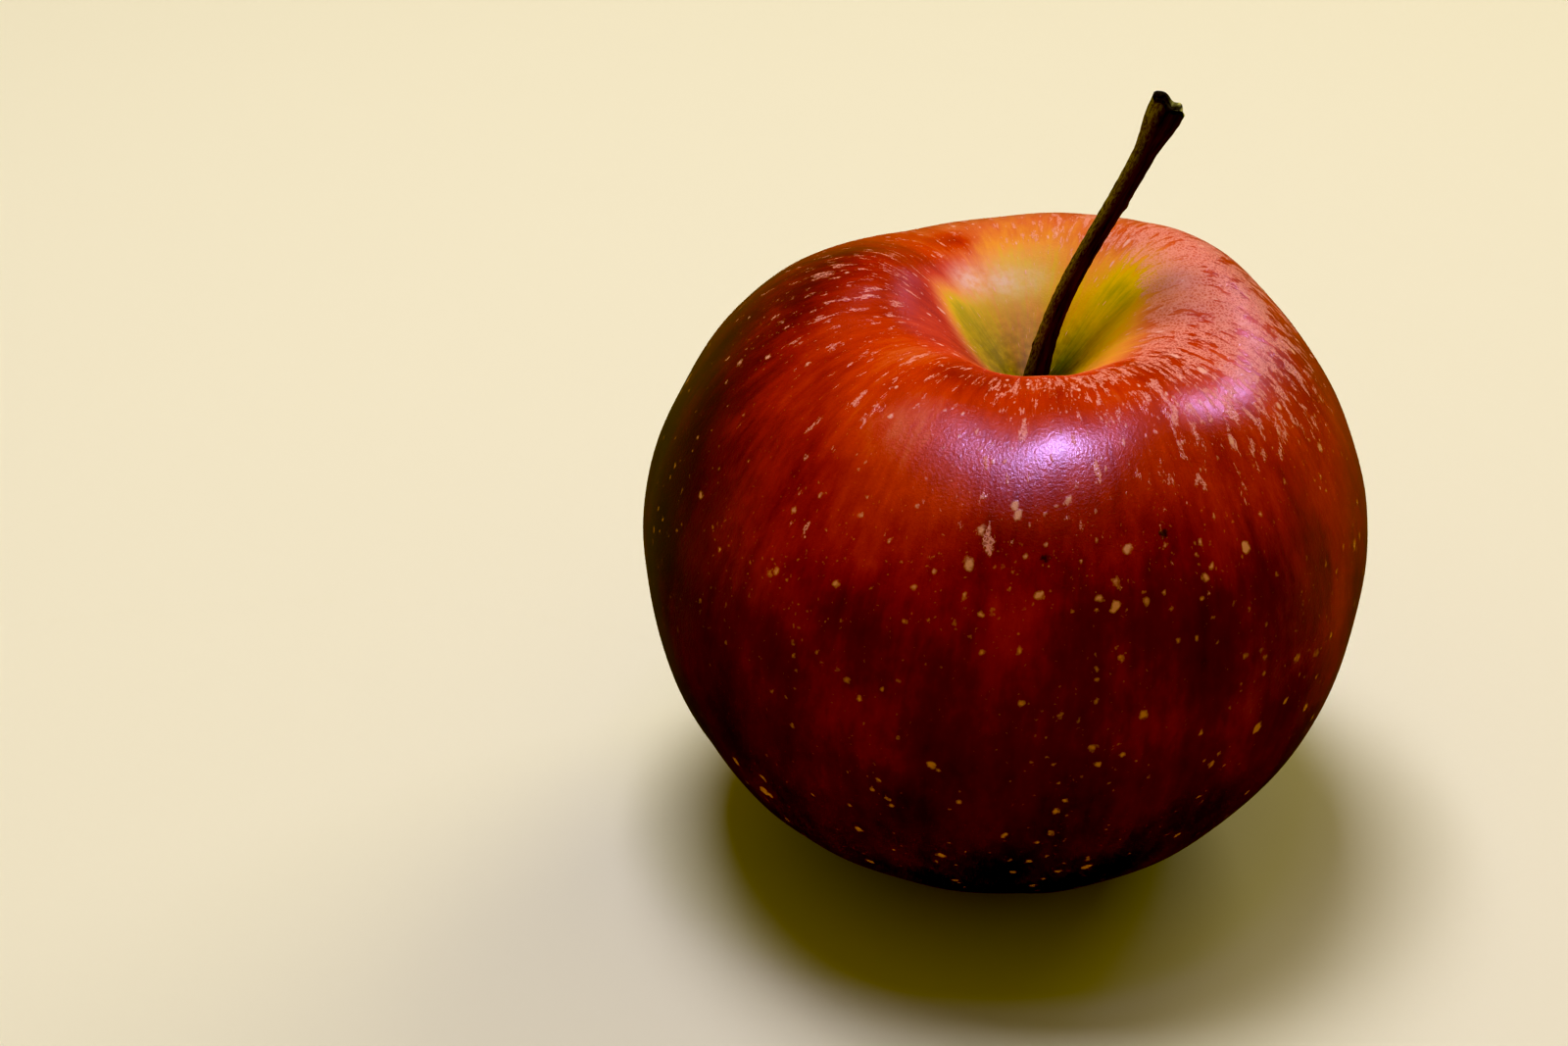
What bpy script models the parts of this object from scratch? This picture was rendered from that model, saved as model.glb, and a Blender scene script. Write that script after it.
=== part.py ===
"""A ripe apple with its stem, resting on the crowns round its eye.

Metres and +Z up. The origin is on the resting plane, under the middle of the fruit.
Angles round the fruit are in degrees, from +X towards +Y, seen from above.
"""

import math

import bmesh
import bpy
import numpy as np

# The round body, before the hollows at its two ends
HALF_WIDTH = 0.0400
HALF_HEIGHT = 0.0380
SHOULDER = 0.024                      # how much wider the body is above its middle
RISE_TO_RIGHT = 0.027                 # slope of the upper half towards +X
RISE_TO_BACK = 0.020                  # and towards +Y

# Waves round the fruit: how many, how high, and the angle of a crest
GIRTH_WAVES = ((3, 0.0046, 35), (5, 0.0092, 10))
CROWN_WAVES = ((1, 0.00070, 16), (2, 0.00058, 16), (3, 0.00102, 38), (5, 0.00040, 19))
CROWN_RING = 0.50                     # where the crown waves are highest, as a share of the half width
CROWN_SPREAD = 0.30

# The stem cavity on top, a funnel that is wider on some sides
CAVITY_X = 0.0025
CAVITY_DEPTH = 0.0185
CAVITY_REACH = 0.0122
CAVITY_POWER = 1.62
CAVITY_WAVES = ((1, 0.061, -145), (2, 0.059, 80))

# The basin underneath, with five crowns round it and the tube of the eye in its middle
BASIN_DEPTH = 0.0105
BASIN_REACH = 0.0092
BASIN_POWER = 2.4
FOOT_RING = 0.36
FOOT_SPREAD = 0.19
FOOT_CROWNS = 5
FOOT_CROWN_HEIGHT = 0.0007
FOOT_CROWN_ANGLE = 18
TUBE_DEPTH = 0.0035
TUBE_REACH = 0.0021
REST_CUT = 0.0005                     # how much of each crown's tip is pressed flat

# The stem: half thickness of its shaft, and how much its foot and its tip add
STEM_RADIUS = 0.00112
STEM_FOOT_SWELL = 0.00035
STEM_TIP_SWELL = 0.00075
STEM_FOOT_TAPER = 0.45                # share of the radius that the very end of the foot loses
STEM_RUN = (0.0130, 0.0030, 0.0322)   # from its foot to its tip
STEM_SAG = 0.0012                     # how far its middle hangs below the straight line
STEM_CURL = 0.0005                    # and how far its ends curl back up
STEM_POINTS = 16

# The dried flower left in the eye
SEPAL_COUNT = 5
SEPAL_LENGTH = 0.0056
SEPAL_HALF_WIDTH = 0.0013
SEPAL_THICKNESS = 0.0004
SEPAL_ROOT = 0.0031                   # distance of a sepal's root from the eye's middle
SEPAL_ANGLE = 54
TUFT_RADIUS = 0.00095
TUFT_LENGTH = 0.0046

GAP = 0.0003                          # left between pieces that touch
RINGS = 44
SECTORS = 60
POLE_CROWDING = 0.35                  # draws the mesh rings together in the two hollows


def waves(azimuth, table):
    """The sum of the table's waves at each azimuth."""
    return sum(
        height * np.cos(count * (azimuth - math.radians(crest)))
        for count, height, crest in table
    )


def fruit_surface(polar, azimuth):
    """Points of the skin. polar runs from 0 in the stem cavity to pi in the basin.

    A round body, fuller above its middle, carries low waves. A funnel exp(-(d / reach) ** power)
    is sunk into its top and a wider bowl of the same kind is pushed up into its base.
    """
    up, out = np.cos(polar), np.sin(polar)
    above = up > 0
    body = HALF_WIDTH * out * (1 + SHOULDER * up)
    radius = body * (1 + out**2 * waves(azimuth, GIRTH_WAVES))
    x, y = radius * np.cos(azimuth), radius * np.sin(azimuth)
    z = HALF_HEIGHT * up

    share = body / HALF_WIDTH
    crown = np.exp(-(((share - CROWN_RING) / CROWN_SPREAD) ** 2)) * (1 - out**6)
    slope = RISE_TO_RIGHT * x + RISE_TO_BACK * y
    away_x = x - CAVITY_X
    side = np.arctan2(y, away_x)
    away = np.hypot(away_x, y)
    reach = CAVITY_REACH * (1 + waves(side, CAVITY_WAVES))
    funnel = CAVITY_DEPTH * np.exp(-((away / reach) ** CAVITY_POWER))
    top = crown * waves(azimuth, CROWN_WAVES) + slope * up - funnel

    foot = np.exp(-(((share - FOOT_RING) / FOOT_SPREAD) ** 2))
    crowns = FOOT_CROWN_HEIGHT * foot * waves(azimuth, ((FOOT_CROWNS, 1, FOOT_CROWN_ANGLE),))
    basin = BASIN_DEPTH * np.exp(-((radius / BASIN_REACH) ** BASIN_POWER))
    tube = TUBE_DEPTH * np.exp(-((radius / TUBE_REACH) ** 4))
    base = basin + tube - crowns
    return np.stack([x, y, z + np.where(above, top, base)], axis=-1)


def drop_to_rest(points):
    """Moves the middle of the fruit over the origin and presses the crowns' tips flat on z = 0."""
    low, high = points.min(axis=0), points.max(axis=0)
    shift = np.array([-(low[0] + high[0]) / 2, -(low[1] + high[1]) / 2, -low[2] - REST_CUT])
    rested = points + shift
    rested[:, 2] = np.maximum(rested[:, 2], 0)
    return rested, shift


def material(name, colour, roughness):
    made = bpy.data.materials.new(name)
    made.use_nodes = True
    shader = made.node_tree.nodes["Principled BSDF"]
    shader.inputs["Base Color"].default_value = (*colour, 1)
    shader.inputs["Roughness"].default_value = roughness
    shader.inputs["Metallic"].default_value = 0
    return made


def add_object(name, data, finish, collection):
    data.materials.append(finish)
    made = bpy.data.objects.new(name, data)
    collection.objects.link(made)
    return made


def fruit(finish, collection):
    """A sphere whose points are moved onto the skin. Returns the shift that rests it, too."""
    mesh = bpy.data.meshes.new("fruit")
    work = bmesh.new()
    bmesh.ops.create_uvsphere(work, u_segments=SECTORS, v_segments=RINGS, radius=1)
    work.to_mesh(mesh)
    work.free()
    ball = np.empty(len(mesh.vertices) * 3)
    mesh.vertices.foreach_get("co", ball)
    ball = ball.reshape(-1, 3)
    polar = np.arccos(np.clip(ball[:, 2], -1, 1))
    polar = polar - POLE_CROWDING * np.sin(2 * polar)
    azimuth = np.arctan2(ball[:, 1], ball[:, 0])
    points, shift = drop_to_rest(fruit_surface(polar, azimuth))
    mesh.vertices.foreach_set("co", points.ravel())
    mesh.shade_smooth()
    add_object("fruit", mesh, finish, collection)
    return shift


def stem_line(share):
    """A point of the stem's middle line: a straight run that sags, and curls up towards its tip."""
    bend = STEM_SAG * math.sin(math.pi * share) + STEM_CURL * math.sin(2 * math.pi * share)
    return np.array(STEM_RUN) * share + np.array([-bend, 0, 0])


def stem_radius(share):
    """Half thickness: a tapered end, a swollen foot, an even shaft and a tip that flares."""
    radius = STEM_RADIUS + STEM_FOOT_SWELL * math.exp(-share / 0.12) + STEM_TIP_SWELL * share**5
    return radius * (1 - STEM_FOOT_TAPER * math.exp(-((share / 0.02) ** 2)))


def stem(foot, finish, collection):
    curve = bpy.data.curves.new("stem", "CURVE")
    curve.dimensions = "3D"
    curve.bevel_depth = 1
    curve.bevel_resolution = 3
    curve.use_fill_caps = True
    line = curve.splines.new("POLY")
    line.points.add(STEM_POINTS - 1)
    for index, point in enumerate(line.points):
        share = index / (STEM_POINTS - 1)
        point.co = (*(foot + stem_line(share)), 1)
        point.radius = stem_radius(share)
    line.use_smooth = True
    add_object("stem", curve, finish, collection)


def sepal_line(share):
    """How far out from the root and down from it a sepal's middle is, as it leans in and curls out."""
    out = SEPAL_LENGTH * (0.62 * share**2.4 - 0.30 * share)
    down = SEPAL_LENGTH * 0.80 * math.sin(math.pi / 2 * min(1, share * 1.15))
    return out, down


def sepal(number, eye, finish, collection):
    """A narrow leaf: a grid bent along the sepal's line and tapered to its tip, then thickened."""
    turn = math.radians(SEPAL_ANGLE + number * 360 / SEPAL_COUNT)
    outward = np.array([math.cos(turn), math.sin(turn), 0])
    across = np.array([-math.sin(turn), math.cos(turn), 0])
    mesh = bpy.data.meshes.new(f"sepal_{number + 1}")
    work = bmesh.new()
    bmesh.ops.create_grid(work, x_segments=4, y_segments=9, size=1)
    for vertex in work.verts:
        side, share = vertex.co.x, (vertex.co.y + 1) / 2
        width = SEPAL_HALF_WIDTH * (1 - 0.93 * share**1.6)
        out, down = sepal_line(share)
        reach = SEPAL_ROOT + out - 0.12 * width * side**2
        vertex.co = eye + outward * reach + across * width * side - np.array([0, 0, down])
    work.to_mesh(mesh)
    work.free()
    leaf = add_object(mesh.name, mesh, finish, collection)
    wall = leaf.modifiers.new("thickness", "SOLIDIFY")
    wall.thickness = SEPAL_THICKNESS
    wall.offset = 0
    mesh.shade_smooth()


def stamen_tuft(top, finish, collection):
    """The bundle of dried stamens: a cone frustum, widest at its loose lower end."""
    mesh = bpy.data.meshes.new("stamen_tuft")
    work = bmesh.new()
    bmesh.ops.create_cone(
        work,
        cap_ends=True,
        segments=12,
        radius1=TUFT_RADIUS,
        radius2=TUFT_RADIUS * 0.7,
        depth=TUFT_LENGTH,
    )
    work.to_mesh(mesh)
    work.free()
    mesh.shade_smooth()
    mesh.set_sharp_from_angle(angle=math.radians(40))
    tuft = add_object("stamen_tuft", mesh, finish, collection)
    tuft.location = top - np.array([0, 0, TUFT_LENGTH / 2])


def build():
    for old in list(bpy.data.objects):
        bpy.data.objects.remove(old)
    collection = bpy.data.collections.new("apple")
    bpy.context.scene.collection.children.link(collection)

    shift = fruit(material("red_skin", (0.28, 0.015, 0.012), 0.35), collection)
    cavity_floor = fruit_surface(math.asin(CAVITY_X / HALF_WIDTH), 0) + shift
    foot = cavity_floor + np.array([0, 0, 2 * GAP])
    stem(foot, material("stem_wood", (0.07, 0.03, 0.012), 0.75), collection)

    root_height = fruit_surface(math.pi - math.asin(SEPAL_ROOT / HALF_WIDTH), 0)[2] + shift[2]
    eye = np.array([shift[0], shift[1], root_height - GAP - SEPAL_THICKNESS])
    dry_leaf = material("dry_sepal", (0.10, 0.065, 0.035), 0.85)
    for number in range(SEPAL_COUNT):
        sepal(number, eye, dry_leaf, collection)
    tube_end = fruit_surface(math.pi, 0) + shift
    tuft_top = tube_end - np.array([0, 0, 2 * GAP])
    stamen_tuft(tuft_top, material("dry_stamens", (0.05, 0.03, 0.018), 0.9), collection)


build()
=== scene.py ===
"""A ripe red apple with its stalk, on a pale table top: the looks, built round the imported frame.

Metres, +Z up. Angles round the fruit run from +X towards +Y, seen from above.
"""

import math

import bpy
import numpy as np
from mathutils import Matrix, Vector


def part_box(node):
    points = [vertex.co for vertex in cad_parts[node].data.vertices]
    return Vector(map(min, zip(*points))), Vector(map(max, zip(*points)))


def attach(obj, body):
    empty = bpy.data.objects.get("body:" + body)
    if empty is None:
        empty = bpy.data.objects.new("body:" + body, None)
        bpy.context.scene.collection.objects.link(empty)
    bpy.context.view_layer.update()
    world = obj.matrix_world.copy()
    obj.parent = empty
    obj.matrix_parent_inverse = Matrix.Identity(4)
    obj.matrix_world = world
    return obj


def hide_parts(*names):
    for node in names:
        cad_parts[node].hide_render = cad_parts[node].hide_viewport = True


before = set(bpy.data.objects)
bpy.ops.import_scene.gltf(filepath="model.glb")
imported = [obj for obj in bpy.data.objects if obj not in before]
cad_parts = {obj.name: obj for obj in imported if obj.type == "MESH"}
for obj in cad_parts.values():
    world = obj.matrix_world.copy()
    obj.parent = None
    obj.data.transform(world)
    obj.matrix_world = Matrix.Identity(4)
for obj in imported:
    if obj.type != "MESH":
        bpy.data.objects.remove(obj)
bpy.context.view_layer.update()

MM = 0.001

# The fruit's shape, as its solid has it: a round body with waves, a funnel on top, a basin below
HALF_WIDTH = 40.0 * MM
HALF_HEIGHT = 38.0 * MM
SHOULDER = 0.024
RISE_TO_RIGHT = 0.027
RISE_TO_BACK = 0.020
GIRTH_WAVES = ((3, 0.0046, 35), (5, 0.0092, 10))
CROWN_WAVES = ((1, 0.70 * MM, 16), (2, 0.58 * MM, 16), (3, 1.02 * MM, 38), (5, 0.40 * MM, 19))
CROWN_RING = 0.50
CROWN_SPREAD = 0.30
CAVITY_X = 2.5 * MM
CAVITY_DEPTH = 18.5 * MM
CAVITY_REACH = 12.2 * MM
CAVITY_POWER = 1.62
CAVITY_WAVES = ((1, 0.061, -145), (2, 0.059, 80))
BASIN_DEPTH = 10.5 * MM
BASIN_REACH = 9.2 * MM
BASIN_POWER = 2.4
FOOT_RING = 0.36
FOOT_SPREAD = 0.19
FOOT_CROWN_HEIGHT = 0.7 * MM
FOOT_CROWN_WAVES = ((5, 1, 18),)
TUBE_DEPTH = 3.5 * MM
TUBE_REACH = 2.1 * MM
SKIN_ROWS = 238
SKIN_COLUMNS = 400
POLE_CROWDING = 0.35                  # draws the rings together in the two hollows

# Its relief: dents all over, and furrows that run down into each hollow
DENTS = ((0.16 * MM, 24 * MM, 11), (0.05 * MM, 9 * MM, 12))     # height, wavelength, seed
TOP_FURROWS = (0.06 * MM, 11 * MM, 13, 20 * MM)                 # and how far from the stem
BASE_FURROWS = (0.14 * MM, 12 * MM, 14, 108 * MM)
FURROW_BAND = 9 * MM
FURROW_STRETCH = (1, 1, 0.12)

# Soft spots on the skin, in mm from the round body's middle: x, y, z, size, and how much each adds
# to the ripening outside the cavity (some rows there are painted light and shade) and in it, to the
# scarf skin, and to the painted reflection under the cavity's back lip
BLUSH_AND_SHADING_SPOTS = (
    # Painted light: makes a lit patch on the upper front left brighter orange
    (-13, -18, 27, 12, -0.08),
    (35, -12, 12, 14, -0.07),
    # Painted shade: darkens the left side
    (-37, -8, 10, 17, 0.17),
    (32, -22, 4, 14, -0.06),
    # Painted shade: darkens the left shoulder towards the back
    (-25, 6, 28, 15, 0.17),
    (-7, -15, 30, 3, 0.10),
    (0, -20, 31, 9, 0.06),
    (-1, -37, 14, 6, 0.06),
    (12, -35, 15, 7, 0.05),
)
CAVITY_SPOTS = (
    (0.5, 13, 30, 6, -0.20),
    (-5.8, 16.3, 30.4, 2.5, 0.16),
    (-5.8, 5.7, 28.1, 4, -0.03),
    (12.2, 3.1, 30.4, 4, -0.05),
)
SCARF_SPOTS = (
    (-13, 3, 32, 9, 0.16),
    (-5, -32.5, 21.5, 2.2, 0.45),
    (-22, -26, 20, 2.5, 0.40),
)
# A pale painted reflection under the cavity's back lip
PAINTED_SHEEN_SPOTS = (
    (-4.0, 9.4, 28.6, 2.0, 0.9),
    (-0.2, 10.3, 28.2, 1.9, 0.8),
    (3.1, 10.6, 28.4, 1.8, 0.4),
)

# Healed pinpricks on the front, in mm from the middle of the fruit's box
SCABS = ((1.4, -34.1, 20.6), (13.3, -31.2, 21.6))

# The stalk's middle line and half thickness, as its solid has them
STALK_RUN = (13.0 * MM, 3.0 * MM, 32.2 * MM)
STALK_SAG = 1.2 * MM
STALK_CURL = 0.5 * MM
STALK_RADIUS = 1.12 * MM
STALK_FOOT_SWELL = 0.35 * MM
STALK_TIP_SWELL = 0.75 * MM
STALK_WAIST = 0.10 * MM
STALK_ROWS = 150
STALK_COLUMNS = 40
STALK_FOOT_END = -0.03                # the foot is carried a little into the cavity's floor
STALK_KNOBS = (                       # place along it, length, side in degrees, spread, height
    (0.16, 0.018, 195, 30, 0.20 * MM),
    (0.665, 0.018, 0, 45, 0.14 * MM),
    (0.40, 0.03, 200, 60, 0.04 * MM),
)
END_RINGS = (0.90, 0.72, 0.54, 0.36, 0.18)
END_DEPTH = 1.0 * MM
END_SLANT = 0.42 * MM
END_TEAR = 0.189 * MM

# The dried flower in the eye
SEPALS = 5
SEPAL_LENGTH = 5.6 * MM
SEPAL_HALF_WIDTH = 1.3 * MM
SEPAL_THICKNESS = 0.4 * MM
SEPAL_ROOT = 3.1 * MM
SEPAL_ANGLE = 54
SEPAL_ROWS = 30
SEPAL_COLUMNS = 16
FILAMENTS = 18
FILAMENT_ROWS = 16
FILAMENT_COLUMNS = 8
GAP = 0.3 * MM                        # left between pieces that touch
TUFT_RADIUS = 0.95 * MM
TUFT_LENGTH = 4.6 * MM

# The stage, in metres
TABLE_WIDTH = 6.0
WALL_RADIUS = 0.75
WALL_HEIGHT = 1.5
WALL_COLUMNS = 96

# The camera looks down by its pitch, in degrees. It stands back, up and left of the fruit's middle
# by widths of the fruit, and aims at a share of its height.
CAMERA_PITCH = 31.63
CAMERA_BACK = 4.25
CAMERA_UP = 0.032
CAMERA_LEFT = 0.305
AIM_HEIGHT = 0.509

# Each lamp: name, heading, distance, size, power in watts, colour, and whether only gloss sees it
LAMPS = (
    ("ceiling_lamp", (-0.14, 0.16, 1.0), 0.9, (0.36, 0.34), 8.4, "#DAD8FF", False),
    ("window", (0.55, 0.65, 0.50), 1.5, (1.0, 0.7), 9.2, "#FFF6E0", False),
    ("room_side", (-0.50, 0.75, 0.45), 1.5, (1.0, 0.6), 0.6, "#FFFAE8", False),
    ("ceiling_gleam", (0.06, -0.15, 1.0), 0.76, (0.15, 0.08), 12.5, "#C0B6FF", True),
    ("far_gleam", (0.66, 0.48, 0.57), 0.9, (0.09, 0.09), 4.2, "#C8BCFF", True),
)


# ---------------------------------------------------------------- shapes

def waves(azimuth, table):
    """The sum of height * cos(count * (azimuth - crest)) over the table's rows."""
    return sum(
        height * np.cos(count * (azimuth - math.radians(crest)))
        for count, height, crest in table
    )


def fade(value, start, end):
    """0 before start and 1 after end, with a smooth S between them."""
    share = np.clip((value - start) / (end - start), 0, 1)
    return share * share * (3 - 2 * share)


def ripple(points, wavelength, seed, count=14):
    """A soft random field of about unit size: plane waves of about one wavelength, in all directions."""
    draw = np.random.default_rng(seed)
    heading = draw.normal(size=(3, count))
    heading /= np.linalg.norm(heading, axis=0)
    length = wavelength * draw.uniform(0.75, 1.4, count)
    phase = draw.uniform(0, 2 * np.pi, count)
    return np.sin(2 * np.pi * (points @ heading) / length + phase).sum(axis=-1) / math.sqrt(count / 2)


def spots(points, table):
    """The sum of soft round spots, strength * exp(-(distance / size) ** 2), over the table's rows."""
    total = np.zeros(points.shape[:-1])
    for x, y, z, size, strength in table:
        away = np.linalg.norm(points - np.array([x, y, z]) * MM, axis=-1)
        total += strength * np.exp(-((away / (size * MM)) ** 2))
    return total


def ring_faces(rows, columns):
    """Quads between closed rings, first ring on top, and fans from a point before them and one after."""
    row = np.arange(rows - 1)[:, None] * columns + 1
    here = np.arange(columns)[None, :]
    there = (here + 1) % columns
    quads = np.stack(
        [row + here, row + columns + here, row + columns + there, row + there], axis=-1
    ).reshape(-1, 4)
    last = rows * columns + 1
    ring = np.arange(columns)
    after = (ring + 1) % columns
    first_fan = np.stack([np.zeros_like(ring), ring + 1, after + 1], axis=-1)
    bottom = last - columns
    last_fan = np.stack([np.full_like(ring, last), bottom + after, bottom + ring], axis=-1)
    return quads.tolist() + first_fan.tolist() + last_fan.tolist()


def closed_rings(rings):
    """The rings as one list of points, with the middle of the first and of the last ring added."""
    flat = rings.reshape(-1, rings.shape[-1])
    return np.concatenate([rings[:1].mean(axis=1), flat, rings[-1:].mean(axis=1)])


def make_piece(name, points, faces, finish, **layers):
    """A smooth mesh object. Each layer is a number or a vector for every point, kept as an attribute."""
    mesh = bpy.data.meshes.new(name)
    mesh.from_pydata(points.tolist(), [], faces)
    for layer, values in layers.items():
        kind, field = ("FLOAT", "value") if values.ndim == 1 else ("FLOAT_VECTOR", "vector")
        made = mesh.attributes.new(layer, kind, "POINT")
        made.data.foreach_set(field, values.astype(np.float32).ravel())
    mesh.shade_smooth()
    mesh.materials.append(finish)
    piece = bpy.data.objects.new(name, mesh)
    bpy.context.scene.collection.objects.link(piece)
    return piece


def fruit_surface(polar, azimuth):
    """Points of the skin. polar runs from 0 in the stem cavity to pi in the basin.

    A round body, fuller above its middle, carries low waves. A funnel exp(-(d / reach) ** power)
    is sunk into its top and a wider bowl of the same kind is pushed up into its base.
    """
    up, out = np.cos(polar), np.sin(polar)
    body = HALF_WIDTH * out * (1 + SHOULDER * up)
    radius = body * (1 + out**2 * waves(azimuth, GIRTH_WAVES))
    x, y = radius * np.cos(azimuth), radius * np.sin(azimuth)
    z = HALF_HEIGHT * up + 0 * x

    share = body / HALF_WIDTH
    crown = np.exp(-(((share - CROWN_RING) / CROWN_SPREAD) ** 2)) * (1 - out**6)
    slope = RISE_TO_RIGHT * x + RISE_TO_BACK * y
    top = crown * waves(azimuth, CROWN_WAVES) + slope * up - CAVITY_DEPTH * funnel(x, y)

    foot = np.exp(-(((share - FOOT_RING) / FOOT_SPREAD) ** 2))
    crowns = FOOT_CROWN_HEIGHT * foot * waves(azimuth, FOOT_CROWN_WAVES)
    basin = BASIN_DEPTH * np.exp(-((radius / BASIN_REACH) ** BASIN_POWER))
    tube = TUBE_DEPTH * np.exp(-((radius / TUBE_REACH) ** 4))
    return np.stack([x, y, z + np.where(up > 0, top, basin + tube - crowns)], axis=-1)


def funnel(x, y):
    """How deep in the stem cavity a place is: 1 at its floor, falling to 0 outside it."""
    side = np.arctan2(y, x - CAVITY_X)
    reach = CAVITY_REACH * (1 + waves(side, CAVITY_WAVES))
    return np.exp(-((np.hypot(x - CAVITY_X, y) / reach) ** CAVITY_POWER))


def outward(rings):
    """Unit normals of a grid of closed rings: the cross product of its two directions."""
    down = np.gradient(rings, axis=0)
    along = np.roll(rings, -1, axis=1) - np.roll(rings, 1, axis=1)
    normal = np.cross(down, along)
    return normal / np.linalg.norm(normal, axis=-1, keepdims=True)


def sector(side, middle, width):
    """1 on the side that faces the middle angle, falling softly to 0 at about twice the width."""
    away = np.angle(np.exp(1j * (side - math.radians(middle))))
    return np.exp(-((away / math.radians(width)) ** 2))


def ripeness_and_shading(rings, side, deep, length):
    """How far the ripening has gone: 0 green, 0.2 yellow, 0.35 gold, 0.5 orange, 0.7 red, 1 maroon.

    The red stops at a line inside the cavity that lies deeper on some sides, and past it the
    ground colour shows. Outside the cavity the red darkens with the distance from the stem, partly
    as painted shade that leaves the lower body dark. Some of the spots are painted light and shade.
    """
    ground = 0.28 - 0.09 * sector(side, 155, 24) + 0.06 * sector(side, 100, 30)
    ground -= 0.04 * fade(deep, 0.50, 0.85) * sector(side, 165, 50)
    ground -= 0.09 * sector(side, 22, 28) - 0.06 * sector(side, -50, 26)
    ground -= 0.18 * fade(deep, 0.60, 0.92) * sector(side, 10, 55)

    line = 0.46 + 0.30 * sector(side, -158, 26) - 0.12 * sector(side, -35, 32)
    line -= 0.10 * sector(side, 70, 45) + 0.06 * sector(side, 150, 12) + 0.20 * sector(side, 16, 22)
    soft = 0.15 + 0.10 * sector(side, 35, 65)
    blushed = fade(line - deep, -soft, soft)

    back = sector(side, 62, 66) * fade(-length, -40 * MM, -18 * MM)
    # Painted shade, in part: these steps darken the red away from the stem, down to a dark base
    blush_and_shading = 0.60 - 0.14 * back + 0.07 * fade(length, 24 * MM, 38 * MM)
    blush_and_shading += 0.10 * fade(length, 32 * MM, 56 * MM) + 0.14 * fade(length, 54 * MM, 88 * MM)
    blush_and_shading += 0.022 * ripple(rings, 22 * MM, 5) + 0.020 * ripple(rings, 10 * MM, 6)
    # Spots, some of them painted light and painted shade
    blush_and_shading += spots(rings, BLUSH_AND_SHADING_SPOTS)

    cover = ground + (blush_and_shading - ground) * blushed + spots(rings, CAVITY_SPOTS)
    return np.clip(cover, 0, 1)


def skin_layers(rings, polar):
    """The layers that the skin's materials read.

    around    the place on a cylinder as wide as the fruit, so that flecks are squeezed near the stem
    cover     how ripe, with painted shade on the lower body and painted light and shade in spots
    scarf     how much pale scarf skin there is
    deep      how deep in the stem cavity the place is, from 0 outside it to 1 at its floor
    bloom     how much pale painted reflection lies under the back lip of the cavity
    """
    x, y = rings[..., 0], rings[..., 1]
    step = np.linalg.norm(np.diff(rings, axis=0), axis=-1)
    start = np.linalg.norm(rings[:1] - rings[:1].mean(axis=1, keepdims=True), axis=-1)
    length = np.concatenate([start, start + np.cumsum(step, axis=0)])
    above = np.clip(np.cos(polar), 0, 1)
    turn = np.arctan2(y, x - CAVITY_X * above)
    around = np.stack([HALF_WIDTH * np.cos(turn), HALF_WIDTH * np.sin(turn), length], axis=-1)

    side = np.arctan2(y, x - CAVITY_X)
    deep = np.where(polar < np.pi / 2, funnel(x, y), 0)
    cover = ripeness_and_shading(rings, side, deep, length)

    scarf = fade(-deep, -0.46, -0.22) * fade(-length, -58 * MM, -22 * MM)
    scarf *= 0.36 + 0.70 * sector(side, 5, 62)
    near_lip = fade(-deep, -0.40, -0.30) * fade(-length, -25 * MM, -17 * MM)
    scarf += 0.40 * sector(side, -85, 40) * near_lip + spots(rings, SCARF_SPOTS)
    # A painted reflection under the cavity's back lip
    bloom = spots(rings, PAINTED_SHEEN_SPOTS)
    return around, cover, np.clip(scarf, 0, 1), deep, np.clip(bloom, 0, 1)


def skin(finish):
    """The whole skin: the fruit's surface, moved along its normals by dents and by furrows.

    It is then moved as a whole into the solid's box, and its crowns are pressed flat on the table.
    Returns the piece and that move.
    """
    even = np.linspace(0, np.pi, SKIN_ROWS + 2)[1:-1, None]
    polar = even - POLE_CROWDING * np.sin(2 * even)
    azimuth = np.arange(SKIN_COLUMNS)[None, :] * (2 * np.pi / SKIN_COLUMNS)
    rings = fruit_surface(polar, azimuth)
    layers = skin_layers(rings, polar)
    around = layers[0]

    turning = around * np.array(FURROW_STRETCH)
    relief = sum(height * ripple(rings, wavelength, seed) for height, wavelength, seed in DENTS)
    for height, wavelength, seed, place in (TOP_FURROWS, BASE_FURROWS):
        band = np.exp(-(((around[..., 2] - place) / FURROW_BAND) ** 2))
        relief += height * ripple(turning, wavelength, seed) * band
    rings = rings + outward(rings) * relief[..., None]

    points = closed_rings(rings)
    low, high = (np.array(corner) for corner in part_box("fruit"))
    small, large = points.min(axis=0), points.max(axis=0)
    shift = (low + high - small - large) / 2
    shift[2] = high[2] - large[2]
    points += shift
    points[:, 2] = np.maximum(points[:, 2], low[2])

    around, cover, scarf, deep, bloom = (
        closed_rings(layer.reshape(SKIN_ROWS, SKIN_COLUMNS, -1)) for layer in layers
    )
    piece = make_piece(
        "apple_skin", points, ring_faces(SKIN_ROWS, SKIN_COLUMNS), finish,
        around=around, cover=cover[:, 0], scarf=scarf[:, 0], deep=deep[:, 0], bloom=bloom[:, 0],
    )
    return piece, shift


def tube_rings(path, radius, columns):
    """Rings carried along a path, first ring at its top end. radius is a number for each ring or point."""
    ahead = -np.gradient(path, axis=0)
    ahead /= np.linalg.norm(ahead, axis=1, keepdims=True)
    right = np.cross(np.array([0, 1, 0]), ahead)
    right /= np.linalg.norm(right, axis=1, keepdims=True)
    back = np.cross(ahead, right)
    turn = np.arange(columns) * (2 * np.pi / columns)
    spoke = right[:, None] * np.cos(turn)[:, None] + back[:, None] * np.sin(turn)[:, None]
    return path[:, None] + spoke * radius.reshape(len(path), -1, 1)


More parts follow.
